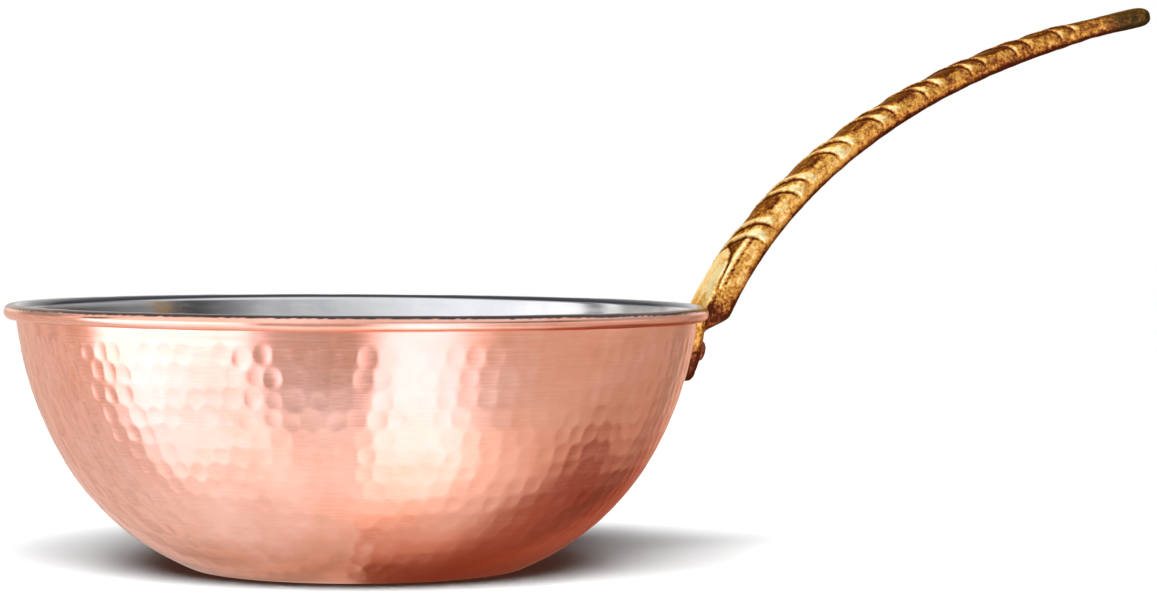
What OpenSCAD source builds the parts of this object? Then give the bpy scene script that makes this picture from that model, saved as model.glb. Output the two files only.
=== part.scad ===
// Round-bottomed copper pan with a tinned inside, a wired rolled rim and a cast brass
// handle held by three rivets. Millimetres, +Z up. The origin is the centre of the flat
// base's underside, and the handle runs out along +X.

/* [Bowl] */
// Diameter over the rolled rim
rim_d = 250; // [200:1:280]
// Height from the underside of the base to the top of the rim
bowl_h = 93.5; // [90:0.5:96]
// Diameter of the flat base
base_d = 116; // [108:1:120]
// Radius of the edge between the flat base and the belly
base_edge_r = 6; // [4:0.5:8]
// Lean of the wall at the rim, out from upright, in degrees
wall_lean = 5; // [4:0.5:6]
// Radius of the wall's curve above the turn
wall_r = 125; // [120:1:135]
// Slope at which the wall's curve tightens into the belly, in degrees from upright
belly_turn = 30; // [26:1:34]
// Thickness of the copper sheet
sheet_t = 1.4; // [1.2:0.1:1.6]
// Thickness of the tin lining
lining_t = 0.25; // [0.2:0.05:0.4]
// Diameter of the rolled rim
bead_d = 5.4; // [5:0.1:6]

/* [Handle] */
// Height of the handle's centre line at its root
root_z = 93; // [92:0.5:94]
// Distance from the bowl's axis to the handle's centre line at its root
root_r = 133; // [132.5:0.5:134]
// Length of the handle's centre line from its root to its tip
handle_l = 211; // [180:1:230]
// Slope of the handle at its root, in degrees
root_slope = 63; // [58:1:66]
// Slope of the handle at its tip, in degrees
tip_slope = 11.5; // [5:0.5:20]
// Length over which the handle's bend fades
bend_fade = 184; // [150:1:260]
// Width of the handle at its root
root_w = 26; // [24:0.5:27]
// Width of the handle at its tip
tip_w = 15; // [13:0.5:18]
// Thickness of the handle at its root
root_t = 12.4; // [11:0.2:13]
// Thickness of the handle at its tip
tip_t = 8.2; // [7.6:0.2:9]
// Number of pairs of twist ridges along the handle
twist_count = 8; // [5:1:10]
// Height of the swelling between two pairs of ridges
twist_swell = 0.4; // [0:0.1:0.6]

/* [Riveting plate] */
// Width of the plate cast onto the handle's heel
plate_w = 26; // [24:1:28]
// Thickness of the plate
plate_t = 6.2; // [5:0.2:7]
// Height of the plate's lower end above the base
plate_low_z = 65; // [62:0.5:66]
// Radius of the plate's lower corners
plate_corner_r = 9; // [6:0.5:12]
// Slope of the heel's underside, in degrees
heel_slope = 20; // [10:1:30]

/* [Rivets] */
// Diameter of the rivets' shanks
rivet_d = 4.5; // [4:0.5:6]
// Diameter of the rivets' heads
head_d = 8; // [7:0.5:8.5]
// Height of the heads outside the plate
outer_head_h = 2.4; // [1.5:0.1:2.8]
// Height of the heads inside the bowl
inner_head_h = 1.5; // [1:0.1:2]
// Distance between the two upper rivets
rivet_gap = 14.4; // [13:0.2:16]
// Height of the upper rivets above the base
upper_rivet_z = 77.5; // [77:0.5:79]
// Height of the lower rivet above the base
lower_rivet_z = 70.3; // [69.8:0.5:71]

/* [Hidden] */
$fn = 160;

// Rolled rim: a tube of sheet around a wire
bead_r = bead_d / 2;
wire_r = bead_r - sheet_t;
bead_c = [rim_d / 2 - bead_r, bowl_h - bead_r];

// The bowl's outline is three arcs that meet tangentially: wall, belly and base edge.
// Angles are measured from outward, upward positive.
function along(angle) = [cos(angle), sin(angle)];
wall_c = bead_c - (wall_r + wire_r) * along(-wall_lean);
edge_c = [base_d / 2, base_edge_r];
edge_to_wall = wall_c - edge_c;
wall_to_belly = ((wall_r - base_edge_r) ^ 2 - edge_to_wall * edge_to_wall)
    / (2 * (edge_to_wall * along(-belly_turn) + wall_r - base_edge_r));
belly_r = wall_r - wall_to_belly;
belly_c = wall_c + wall_to_belly * along(-belly_turn);
edge_dir = edge_c - belly_c;
edge_angle = atan2(edge_dir[1], edge_dir[0]);

// Points on the lines where the arcs meet, inside and well outside the sheet
rim_near = wall_c + 0.95 * wall_r * along(-wall_lean);
rim_far = wall_c + 2 * wall_r * along(-wall_lean);
turn_far = wall_c + 2 * wall_r * along(-belly_turn);
edge_far = belly_c + 2 * belly_r * along(edge_angle);
base_far = edge_c - [0, 5 * base_edge_r];
// Each arc is [centre, radius, the other corners of the wedge that holds it]
arcs = [
    [wall_c, wall_r, [belly_c, turn_far, rim_far, bead_c, rim_near]],
    [belly_c, belly_r, [edge_c, edge_far, turn_far]],
    [edge_c, base_edge_r, [base_far, edge_far]]
];
// The tin runs over the roll to this angle, just short of its top at 90
tin_end = 115;
// The sheet's cut edge stops this far short of the wall, under the roll
roll_gap = 0.2;
roll_end = -wall_lean - acos(-(wire_r - roll_gap) / bead_r);

// Rivets, each [angle around the bowl, height]
rivet_angle = asin(rivet_gap / 2 / (rim_d / 2));
front_rivet = [-rivet_angle, upper_rivet_z];
back_rivet = [rivet_angle, upper_rivet_z];
lower_rivet = [0, lower_rivet_z];
rivets = [front_rivet, back_rivet, lower_rivet];
// How far a rivet's bore is cut to each side of the wall
bore_reach = 14;
// The flat of an inner head stands off the hollow lining so that only its rim touches
head_bed = 0.08;

// Handle: rings along the centre line and points around each ring
ring_step = 3;
ring_points = 24;
heel_l = 12;
heel_rings = 3;
grip_rings = round(handle_l / ring_step);
tip_rings = 5;
tip_round = 5;
// Exponent of the rounded-square section, where 2 is an ellipse
squareness = 2.7;
// How the width and the depth narrow towards the tip, where 1 is a straight taper
width_ease = 1.7;
depth_ease = 1;
// Narrow neck behind the rounded knob at the tip
neck_s = handle_l - 22;
neck_l = 12;
neck_depth = 0.09;

// ---- Bowl ----

// Band of the bowl's wall between two depths, counted inward from its outer face
module band(from, to) {
    for (arc = arcs)
        intersection() {
            translate(arc[0]) difference() {
                circle(arc[1] - from);
                circle(arc[1] - to);
            }
            polygon(concat([arc[0]], arc[2]));
        }
    translate([0, from]) square([base_d / 2, to - from]);
}

// Sheet rolled over the wire, from the top of the wall round to its cut edge
module roll() {
    reach = 3 * bead_d;
    corners = [for (a = [130, 45, -40, roll_end]) bead_c + reach * along(a)];
    intersection() {
        translate(bead_c) difference() {
            circle(bead_r);
            circle(wire_r);
        }
        polygon(concat([bead_c, rim_near], corners));
    }
}

// What the outside of the bowl fills near its rim, for cutting the handle to fit it
module bowl_outside() {
    rotate_extrude() {
        band(0, base_edge_r - 1);
        translate(bead_c) circle(bead_r);
    }
}

// Moves to the wall's outer face at a rivet, with +X along the rivet, out of the bowl
module at_rivet(rivet) {
    rotate([0, 0, rivet[0]])
        translate([wall_c[0], 0, wall_c[1]])
            rotate([0, asin((wall_c[1] - rivet[1]) / wall_r), 0])
                translate([wall_r, 0, 0])
                    children();
}

module rivet_bore(rivet) {
    at_rivet(rivet) rotate([0, 90, 0])
        cylinder(h = 2 * bore_reach, d = rivet_d, center = true);
}

module bowl_shell() {
    color([0.80, 0.47, 0.36]) difference() {
        rotate_extrude() {
            band(0, sheet_t);
            roll();
        }
        for (rivet = rivets) rivet_bore(rivet);
    }
}

module rim_wire() {
    color([0.55, 0.55, 0.56])
        rotate_extrude() translate(bead_c) circle(wire_r);
}

// The lining follows the sheet's inner face up the wall and part of the way over the roll
module tin_lining() {
    reach = 3 * bead_d;
    color([0.82, 0.82, 0.80]) difference() {
        rotate_extrude() {
            band(sheet_t, sheet_t + lining_t);
            intersection() {
                translate(bead_c) difference() {
                    circle(bead_r + lining_t);
                    circle(bead_r);
                }
                polygon([bead_c, rim_near, bead_c + reach * along(140),
                         bead_c + reach * along(tin_end)]);
            }
        }
        for (rivet = rivets) rivet_bore(rivet);
    }
}

// ---- Handle ----

// The slope falls from root_slope to tip_slope, quickly at first
function faded(s) = (exp(-s / bend_fade) - exp(-handle_l / bend_fade))
    / (1 - exp(-handle_l / bend_fade));
function slope(s) = tip_slope + (root_slope - tip_slope) * (s < 0 ? 1 : faded(s));

// Centre line as [distance out, height], summed over short steps of the slope
function walk(s, step, point) =
    s <= 0 ? point + s * along(root_slope)
    : walk(s - step, step, point + step * along(slope(s - step / 2)));
function centre(s) = walk(s, s > 0 ? s / ceil(s) : 1, [root_r, root_z]);

function narrowed(s, ease) = pow(1 - max(s, 0) / handle_l, ease);
function neck(s) = 1 - neck_depth * exp(-pow((s - neck_s) / neck_l, 2));
// The ridges sit at equal turns, which shorten towards the tip as the handle narrows
function turns(s) = twist_count * s / handle_l * (0.85 + 0.15 * s / handle_l);
function swell(s) = s <= 0 || s > neck_s ? 0
    : twist_swell * (0.5 - 0.5 * cos(360 * turns(s)));
function half_w(s) = neck(s) * (tip_w + (root_w - tip_w) * narrowed(s, width_ease)) / 2;
function half_t(s) = neck(s) * (tip_t + (root_t - tip_t) * narrowed(s, depth_ease)) / 2;

function bulged(x) = sign(x) * pow(abs(x), 2 / squareness);
// Ring of points around the centre line at s, scaled about it and moved along it
function ring(s, scale, ahead) = [
    for (i = [0 : ring_points - 1])
        let (angle = 360 * i / ring_points,
             side = scale * half_w(s) * bulged(cos(angle)),
             up = scale * (half_t(s) + (sin(angle) < 0 ? swell(s) : 0)) * bulged(sin(angle)),
             c = centre(s),
             a = slope(s))
        [c[0] + ahead * cos(a) - up * sin(a), side, c[1] + ahead * sin(a) + up * cos(a)]
];

// Closed skin over a list of rings, with a flat end on the first and the last
module skin(rings) {
    n = ring_points;
    last = len(rings) - 1;
    points = [for (r = rings) for (p = r) p];
    sides = [
        for (j = [0 : last - 1]) for (i = [0 : n - 1])
            let (a = j * n + i, b = j * n + (i + 1) % n)
            each [[a, a + n, b], [b, a + n, b + n]]
    ];
    first_end = [for (i = [1 : n - 2]) [0, i, i + 1]];
    last_end = [for (i = [1 : n - 2]) [last * n, last * n + i + 1, last * n + i]];
    polyhedron(points, concat(sides, first_end, last_end));
}

module bar() {
    heel = [for (j = [heel_rings : -1 : 1]) ring(-j * heel_l / heel_rings, 1, 0)];
    grip_end = handle_l - tip_round;
    grip = [for (j = [0 : grip_rings]) ring(grip_end * j / grip_rings, 1, 0)];
    tip = [for (j = [1 : tip_rings])
        let (a = 84 * j / tip_rings)
        ring(grip_end, cos(a), tip_round * sin(a) / sin(84))];
    skin(concat(heel, grip, tip));
}

// Cuts the bar's lower end to a slope that starts at the plate's outer face
module below_heel() {
    heel_x = bead_c[0] + plate_t - sheet_t;
    heel_z = plate_low_z + 19;
    translate([heel_x, 0, heel_z]) rotate([0, -heel_slope, 0])
        translate([-20, -root_w, -30]) cube([50, 2 * root_w, 30]);
}

// Outline of the plate in Y and height, stood on edge and pushed out through the wall.
// It stops just under the rolled rim.
module plate_outline() {
    plate_h = bowl_h - bead_d - 0.1 - plate_low_z;
    inset = plate_w / 2 - plate_corner_r;
    translate([rim_d / 4, 0, plate_low_z]) rotate([90, 0, 90]) linear_extrude(rim_d / 2) {
        translate([-inset, 0]) square([2 * inset, plate_h]);
        translate([-plate_w / 2, plate_corner_r])
            square([plate_w, plate_h - plate_corner_r]);
        for (side = [-1, 1]) translate([side * inset, plate_corner_r]) circle(plate_corner_r);
    }
}

module handle() {
    color([0.72, 0.53, 0.20]) difference() {
        union() {
            difference() {
                bar();
                below_heel();
                bowl_outside();
            }
            intersection() {
                rotate_extrude() band(-plate_t, 0);
                plate_outline();
            }
        }
        for (rivet = rivets) rivet_bore(rivet);
    }
}

// ---- Rivets ----

// Half profile of a round head of height h
module cap(h) {
    ball_r = (head_d * head_d / 4 + h * h) / (2 * h);
    intersection() {
        translate([0, h - ball_r]) circle(ball_r);
        square([head_d, h]);
    }
}

// Turned about its own axis: outer head on the plate, shank, inner head on the lining
module rivet(place) {
    inner_face = sheet_t + lining_t + head_bed;
    color([0.70, 0.38, 0.27]) at_rivet(place) rotate([0, 90, 0]) rotate_extrude() {
        translate([0, plate_t]) cap(outer_head_h);
        translate([0, -inner_face]) square([rivet_d / 2, plate_t + inner_face]);
        translate([0, -inner_face]) mirror([0, 1]) cap(inner_head_h);
    }
}

module rivet_front() rivet(front_rivet);
module rivet_back() rivet(back_rivet);
module rivet_lower() rivet(lower_rivet);

bowl_shell();
rim_wire();
tin_lining();
handle();
rivet_front();
rivet_back();
rivet_lower();
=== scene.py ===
import math

import bpy
import numpy as np
from mathutils import Matrix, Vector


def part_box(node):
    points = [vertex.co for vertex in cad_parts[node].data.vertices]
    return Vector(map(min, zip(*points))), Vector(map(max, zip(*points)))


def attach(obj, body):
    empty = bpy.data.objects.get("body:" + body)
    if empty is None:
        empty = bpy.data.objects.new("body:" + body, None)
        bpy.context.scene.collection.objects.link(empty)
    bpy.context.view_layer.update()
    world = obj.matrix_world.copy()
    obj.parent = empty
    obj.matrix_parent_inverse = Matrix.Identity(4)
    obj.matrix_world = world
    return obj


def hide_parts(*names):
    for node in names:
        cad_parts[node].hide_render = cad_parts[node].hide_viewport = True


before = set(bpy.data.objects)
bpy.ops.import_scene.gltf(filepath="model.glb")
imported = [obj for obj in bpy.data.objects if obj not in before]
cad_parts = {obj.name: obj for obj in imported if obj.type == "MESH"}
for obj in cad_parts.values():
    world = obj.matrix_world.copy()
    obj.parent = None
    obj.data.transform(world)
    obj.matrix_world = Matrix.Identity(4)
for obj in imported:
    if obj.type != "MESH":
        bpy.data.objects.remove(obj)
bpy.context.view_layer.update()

MM = 0.001
_, shell_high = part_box("bowl_shell")
handle_low, handle_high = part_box("handle")

# Lengths are in metres. Slopes and turns are in degrees, and theta, round the bowl, in radians.

# ---- Bowl dimensions ----
RIM_R = shell_high[0]
BOWL_H = shell_high[2]
BASE_R = 58 * MM
BASE_EDGE_R = 6 * MM
WALL_R = 125 * MM
WALL_LEAN = 5
BELLY_TURN = 30
SHEET_T = 1.4 * MM
LINING_T = 0.25 * MM
BEAD_R = 2.7 * MM
WIRE_R = BEAD_R - SHEET_T
CUT_GAP = 0.25 * MM
BOWL_AROUND = 1080
BOWL_STEP = 0.75 * MM
LINING_AROUND = 720
LINING_STEP = 2 * MM
LINING_TOP = BOWL_H - BEAD_R - 1 * MM
LIP_TURNS = 14
LIP_END = 112

# ---- Hammer marks ----
MARK_R = 3.5 * MM
MARK_PITCH = 7.0 * MM
ROW_PITCH = 6.9 * MM
# The first row's distance below the top of the wall
FIRST_ROW = 9.3 * MM
# Depths in mm: of a mark in the lowest row, and how much deeper the top row's are
LOW_DEPTH, MORE_DEPTH = 0.065, 0.14
# Direction in which the marks are shallower, by how much, and how narrow that part is
POLISHED_SIDE = math.radians(-86)
POLISHED_BY, POLISHED_NARROW = 0.5, 30

# ---- Handle dimensions ----
HANDLE_L = 211 * MM
ROOT = np.array([133, 93]) * MM
ROOT_SLOPE = 63
TIP_SLOPE = 11.5
BEND_FADE = 184 * MM
ROOT_W, TIP_W = 26 * MM, 15 * MM
ROOT_T, TIP_T = 12.4 * MM, 8.2 * MM
SQUARENESS = 2.7
TIP_ROUND = 5 * MM
GRIP_AROUND = 144
GRIP_STEP = 0.42 * MM
# How far the visual handle's plain surface lies inside the CAD one
SKIN_IN = 0.35 * MM
PAIRS = 8
# In mm: the first pair of ridges, the step to the next, and how fast the steps shorten
FIRST_PAIR, PAIR_STEP, PAIR_CLOSER = 30, 22, 0.22
# Each ridge's distance from the middle of its pair
RIDGE_OFF = 3.25 * MM
PLATE_W = 2 * handle_high[1]
PLATE_T = 6.2 * MM
PLATE_LOW = handle_low[2]
PLATE_CORNER = 9 * MM
PLATE_EDGE_R = 1.4 * MM
PLATE_TOP = BOWL_H - 2 * BEAD_R
PLATE_AROUND = 180
HEEL_SLOPE = 20
HEEL_HIGH = 19 * MM
HEEL_ROUND = 1.6 * MM

# ---- Rivets: height on the wall and distance to one side ----
RIVETS = {
    "rivet_front": (77.5 * MM, -7.2 * MM),
    "rivet_back": (77.5 * MM, 7.2 * MM),
    "rivet_lower": (70.3 * MM, 0),
}
RIVET_R = 2.25 * MM
HEAD_R = 4 * MM
OUTER_HEAD_H = 2.4 * MM
INNER_HEAD_H = 1.5 * MM
RIVET_AROUND = 64


# ---- Small mathematics ----

def unit(degrees):
    """Direction at that angle, as two numbers on the last axis."""
    a = np.radians(degrees)
    return np.stack([np.cos(a), np.sin(a)], axis=-1)


def smooth(x, low, high):
    """0 below low, 1 above high and an even curve between them."""
    t = np.clip((x - low) / (high - low), 0, 1)
    return t * t * (3 - 2 * t)


def ripple(rng, u, theta, count, waves_round, waves_along, size):
    """A gentle unevenness: waves of random direction that join up around the part."""
    waves = np.zeros(np.broadcast(u, theta).shape)
    for _ in range(count):
        turns = int(rng.integers(-waves_round, waves_round + 1))
        rate = rng.uniform(-waves_along, waves_along)
        waves += np.sin(turns * theta + rate * u + rng.uniform(0, 2 * math.pi))
    return size * waves / math.sqrt(count)


# ---- Mesh helper ----

def closed_skin(name, rings, start, end, material, values):
    """A closed smooth mesh over rings of points, with a pole before the first and after the last.
    values gives each named point attribute as numbers that broadcast over the rings' points."""
    count, around = rings.shape[:2]
    index = np.arange(count * around).reshape(count, around)
    low, high = index[:-1], index[1:]
    quads = np.stack([low, np.roll(low, -1, 1), np.roll(high, -1, 1), high], axis=-1)
    fans = []
    ends = ((index[0], count * around, 1), (index[-1], count * around + 1, -1))
    for ring, pole, step in ends:
        fans.append(np.stack([np.full(around, pole), np.roll(ring, -step), ring], axis=-1))
    mesh = bpy.data.meshes.new(name)
    points = np.vstack([rings.reshape(-1, 3), start, end])
    faces = quads.reshape(-1, 4).tolist() + fans[0].tolist() + fans[1].tolist()
    mesh.from_pydata(points.tolist(), [], faces)
    corners = points[quads.reshape(-1, 4)]
    across = np.cross(corners[:, 2] - corners[:, 0], corners[:, 3] - corners[:, 1])
    if np.einsum("ij,ij->", corners.mean(axis=1), across) < 0:
        mesh.flip_normals()
    for key, value in values.items():
        value = np.broadcast_to(value, (count, around))
        flat = np.concatenate([value.ravel(), [value[0].mean(), value[-1].mean()]])
        layer = mesh.attributes.new(key, "FLOAT", "POINT")
        layer.data.foreach_set("value", flat.astype(np.float32))
    mesh.shade_smooth()
    mesh.materials.append(material)
    piece = bpy.data.objects.new(name, mesh)
    bpy.context.collection.objects.link(piece)
    return piece


# ---- The bowl's outline, in radius and height ----

def turn_round(centre, radius, angles):
    """Points and outward directions along an arc."""
    out = unit(angles)
    return centre + radius * out, out


def sampled(start, end, step):
    """Even samples from start to end, about a step apart."""
    return np.linspace(start, end, max(3, int(round(abs(end - start) / step)) + 1))


BEAD_C = np.array([RIM_R - BEAD_R, BOWL_H - BEAD_R])
WALL_C = BEAD_C - (WALL_R + WIRE_R) * unit(-WALL_LEAN)
EDGE_C = np.array([BASE_R, BASE_EDGE_R])


def belly_arc():
    """Centre and radius of the arc that is tangent to the wall and to the base edge."""
    reach = WALL_R - BASE_EDGE_R
    span = WALL_C - EDGE_C
    shift = (reach ** 2 - span @ span) / (2 * (span @ unit(-BELLY_TURN) + reach))
    return WALL_C + shift * unit(-BELLY_TURN), WALL_R - shift


BELLY_C, BELLY_R = belly_arc()


def outer_outline(step):
    """The wall's outer face from near the middle of the base to just under the bead."""
    edge_turn = math.degrees(math.atan2(*(EDGE_C - BELLY_C)[::-1]))
    under_bead = BOWL_H - 2 * BEAD_R + 1.0 * MM
    top_turn = math.degrees(math.asin((under_bead - WALL_C[1]) / WALL_R))
    base_r = sampled(2 * MM, BASE_R - step, 3 * step)
    base = np.stack([base_r, 0 * base_r], axis=-1)
    pieces = [(base, np.tile([0.0, -1.0], (len(base_r), 1)))]
    for centre, radius, start, end in (
        (EDGE_C, BASE_EDGE_R, -90, edge_turn),
        (BELLY_C, BELLY_R, edge_turn, -BELLY_TURN),
        (WALL_C, WALL_R, -BELLY_TURN, top_turn),
    ):
        angles = sampled(start, end, math.degrees(step / radius))
        points, out = turn_round(centre, radius, angles)
        skip = 1 if len(pieces) > 1 else 0
        pieces.append((points[skip:], out[skip:]))
    points = np.vstack([p for p, _ in pieces])
    out = np.vstack([o for _, o in pieces])
    return points, out


def length_along(points):
    """Distance travelled along a line of points."""
    return np.concatenate([[0], np.cumsum(np.linalg.norm(np.diff(points, axis=0), axis=1))])


def turned(points, theta):
    """Rings of 3D points from a radius and a height at each angle."""
    radius, height = points[..., 0], points[..., 1]
    height = np.broadcast_to(height, np.broadcast(radius, theta).shape)
    return np.stack([radius * np.cos(theta), radius * np.sin(theta), height], axis=-1)


def circle(count):
    """Evenly spaced angles round the part."""
    return np.arange(count) * 2 * math.pi / count


# ---- Hammered copper bowl ----

def hammer_marks(rng, along, radius, theta):
    """Depth of the rows of hammer marks, each a shallow dish that meets its neighbours."""
    depth = np.zeros((len(along), len(theta)))
    theta_step = theta[1] - theta[0]
    top = along[-1]
    bottom = np.interp(BASE_R + 6 * MM, radius, along)
    at = top - FIRST_ROW
    while at > bottom:
        here = np.interp(at, along, radius)
        count = int(round(2 * math.pi * here / MARK_PITCH))
        level = (at - bottom) / (top - bottom)
        deepest = (LOW_DEPTH + MORE_DEPTH * level ** 1.1) * MM
        start = rng.random()
        for i in range(count):
            middle = (i + start + rng.normal(0, 0.07)) * 2 * math.pi / count
            height = at + rng.normal(0, 0.45) * MM
            size = MARK_R * (1 + rng.normal(0, 0.08))
            tall = rng.uniform(1.0, 1.2)
            polished = math.cos((middle - POLISHED_SIDE) / 2) ** POLISHED_NARROW
            deep = deepest * (1 + rng.normal(0, 0.25)) * (1 - POLISHED_BY * polished)
            rows = np.where(np.abs(along - height) < size * tall)[0]
            column = int(round(middle / theta_step))
            half = int(size / here / theta_step) + 1
            columns = np.arange(column - half, column + half + 1)
            across = (columns * theta_step - middle) * here / size
            up = (along[rows] - height) / (size * tall)
            dish = deep * (1 - up[:, None] ** 2 - across[None, :] ** 2)
            window = np.ix_(rows, columns % len(theta))
            depth[window] = np.maximum(depth[window], dish)
        at -= ROW_PITCH * (1 + rng.normal(0, 0.05))
    return depth


def bead_rings(rng, theta, angles):
    """The rolled rim's surface at those angles, with slight flats from the mallet."""
    deepest = 0.08 * MM
    dents = ripple(rng, 0, theta, 6, 60, 1, 0.035 * MM)
    dents = dents + ripple(rng, 0, theta, 4, 14, 1, 0.03 * MM)
    dents = np.clip(dents, -deepest, deepest) - deepest
    return BEAD_C + (BEAD_R + dents[None, :, None]) * unit(angles)[:, None, :]


def wall_depth(rng, points, theta):
    """How far the hammered wall lies inside its smooth outline."""
    along = length_along(points)
    radius = points[:, 0]
    on_wall = smooth(radius, BASE_R + 1 * MM, BASE_R + 9 * MM)
    near_bead = smooth(along, along[-1] - 5 * MM, along[-1] - 1 * MM)
    depth = hammer_marks(rng, along, radius, theta)
    sway = ripple(rng, along[:, None], theta[None, :], 14, 16, 160, 0.04 * MM)
    sway += ripple(rng, along[:, None], theta[None, :], 22, 90, 700, 0.010 * MM)
    depth += (on_wall * (1 - near_bead))[:, None] * (sway + 0.09 * MM)
    # A fine line turned into the wall under the bead
    crease = np.exp(-((along - along[-1] + 4.2 * MM) / (0.7 * MM)) ** 2)
    return depth + 0.05 * MM * crease[:, None]


def build_bowl(material):
    """The copper bowl: its hammered wall, its rolled bead and the sheet's inner face."""
    rng = np.random.default_rng(11)
    theta = circle(BOWL_AROUND)
    points, out = outer_outline(BOWL_STEP)
    depth = wall_depth(rng, points, theta)
    wall = points[:, None, :] - depth[..., None] * out[:, None, :]
    turn_under = -WALL_LEAN - math.degrees(math.acos(-(WIRE_R - CUT_GAP) / BEAD_R))
    bead_angles = np.linspace(turn_under, 180 - WALL_LEAN, 40)
    bead = bead_rings(rng, theta, bead_angles)
    inner, inner_out = outer_outline(9 * MM)
    inside = (inner - SHEET_T * inner_out)[::-1, None, :] + np.zeros((1, BOWL_AROUND, 1))
    outline = np.vstack([wall, bead, inside])
    # Angle on the bead where the tin's ragged edge lies; from there over the rim the copper is
    # painted dark, a painted dark reflection
    ragged = 43 - 9 * np.cos((theta - math.pi) / 2) ** 8 - 13 * np.cos((theta + 0.6) / 2) ** 8
    ragged += 3 * ripple(rng, 0, theta, 12, 260, 1, 1.0)
    tinned = np.zeros((len(outline), BOWL_AROUND))
    inside_from = len(wall) + len(bead)
    tinned[len(wall):inside_from] = smooth(bead_angles[:, None], ragged - 4, ragged + 4)
    tinned[inside_from:] = 1
    rings = turned(outline, theta[None, :])
    start = [0, 0, 0]
    end = [0, 0, SHEET_T]
    return closed_skin("copper_bowl", rings, start, end, material, {"tinned": tinned})


# ---- Tin lining ----

def painted_dark_edge(theta, heights, lip_angles, rows):
    """Where the lining is painted dark: a painted dark reflection on its lip, and painted shade
    under the rim at the left.
    """
    edge = np.zeros((rows, len(theta)))
    under_rim = smooth(heights, LINING_TOP - 6 * MM, LINING_TOP - 2 * MM)
    edge[:len(heights)] = under_rim[:, None] * np.cos((theta - 2.75) / 2) ** 14
    # The painted dark reflection on the lip is widest at the left and right of the pan
    wide = 34 * np.cos((theta - 2.7) / 2) ** 10 + 28 * np.cos((theta - 0.35) / 2) ** 10
    lip = smooth(-lip_angles[:, None], -146 - wide, -130 - wide)
    edge[len(heights):len(heights) + len(lip_angles)] = lip
    return edge


def build_lining(material):
    """The tin: its uneven shown face, the lip that thins out on the bead, and its hidden back."""
    rng = np.random.default_rng(23)
    theta = circle(LINING_AROUND)
    points, out = outer_outline(LINING_STEP)
    along = length_along(points)
    keep = points[:, 1] < LINING_TOP
    points, out, along = points[keep], out[keep], along[keep]
    face = SHEET_T + LINING_T
    back = SHEET_T - 0.2 * MM
    uneven = ripple(rng, along[:, None], theta[None, :], 16, 40, 320, 0.018 * MM)
    uneven *= smooth(along, 0, 30 * MM)[:, None]
    shown = points[:, None, :] - (face - uneven)[..., None] * out[:, None, :]
    angles = np.linspace(180 - WALL_LEAN, LIP_END, LIP_TURNS)
    taper = np.linspace(LINING_T, 0.02 * MM, LIP_TURNS)
    lip = BEAD_C + (BEAD_R + taper)[:, None, None] * unit(angles)[:, None, :]
    under = BEAD_C + (BEAD_R - 0.3 * MM) * unit(angles)[::-1, None, :]
    backed = (points - back * out)[::-1, None, :]
    level = np.zeros((1, LINING_AROUND, 1))
    outline = np.vstack([shown, lip + level, under + level, backed + level])
    rings = turned(outline, theta[None, :])
    start = [0, 0, face]
    end = [0, 0, back]
    edge = painted_dark_edge(theta, points[:, 1], angles, len(outline))
    return closed_skin("tin_lining_skin", rings, start, end, material, {"edge": edge})


# ---- Handle ----

def slope_at(s):
    """Slope of the handle's centre line, which falls quickly at first."""
    last = math.exp(-HANDLE_L / BEND_FADE)
    faded = (np.exp(-np.maximum(s, 0) / BEND_FADE) - last) / (1 - last)
    return TIP_SLOPE + (ROOT_SLOPE - TIP_SLOPE) * faded


def centre_at(s):
    """Centre line as (distance out, height), straight before the root."""
    fine = np.linspace(0, HANDLE_L, 3001)
    steps = unit(slope_at((fine[1:] + fine[:-1]) / 2)) * (fine[1] - fine[0])
    path = ROOT + np.vstack([[0, 0], np.cumsum(steps, axis=0)])
    inside = np.clip(s, 0, HANDLE_L)
    distance, height = (np.interp(inside, fine, line) for line in path.T)
    return np.stack([distance, height], -1) + np.minimum(s, 0)[..., None] * unit(ROOT_SLOPE)


def half_size(s):
    """Half the handle's width and half its depth."""
    left = 1 - np.clip(s, 0, HANDLE_L) / HANDLE_L
    neck = 1 - 0.09 * np.exp(-((s - HANDLE_L + 22 * MM) / (12 * MM)) ** 2)
    width = TIP_W + (ROOT_W - TIP_W) * left ** 1.7
    depth = TIP_T + (ROOT_T - TIP_T) * left
    return neck * width / 2, neck * depth / 2


def girth_angles(count):
    """Angles of the rounded-square section, evenly spaced along it, 0 on top and 90 in front."""
    dense = np.linspace(-180, 180, 14401)
    c, s = np.cos(np.radians(dense)), np.sin(np.radians(dense))
    power = 2 / SQUARENESS
    loop = np.stack([2 * np.sign(s) * np.abs(s) ** power, np.sign(c) * np.abs(c) ** power], -1)
    travelled = length_along(loop)
    return np.interp(np.arange(count) * travelled[-1] / count, travelled, dense)


def bar_surface(s, t, shrink):
    """Points of the plain bar at distance s and girth angle t, its section drawn in by shrink."""
    half_w, half_t = half_size(s)
    power = 2 / SQUARENESS
    c, n = np.cos(np.radians(t)), np.sin(np.radians(t))
    across = -(half_w - shrink) * np.sign(n) * np.abs(n) ** power
    up = (half_t - shrink) * np.sign(c) * np.abs(c) ** power
    middle = centre_at(s)
    a = np.radians(slope_at(s))
    return np.stack([middle[..., 0] - up * np.sin(a), across, middle[..., 1] + up * np.cos(a)], -1)


def ridge_middle(k):
    """Distance along the handle of the middle of pair k."""
    return (FIRST_PAIR + PAIR_STEP * k - PAIR_CLOSER * k * k) * MM


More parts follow.
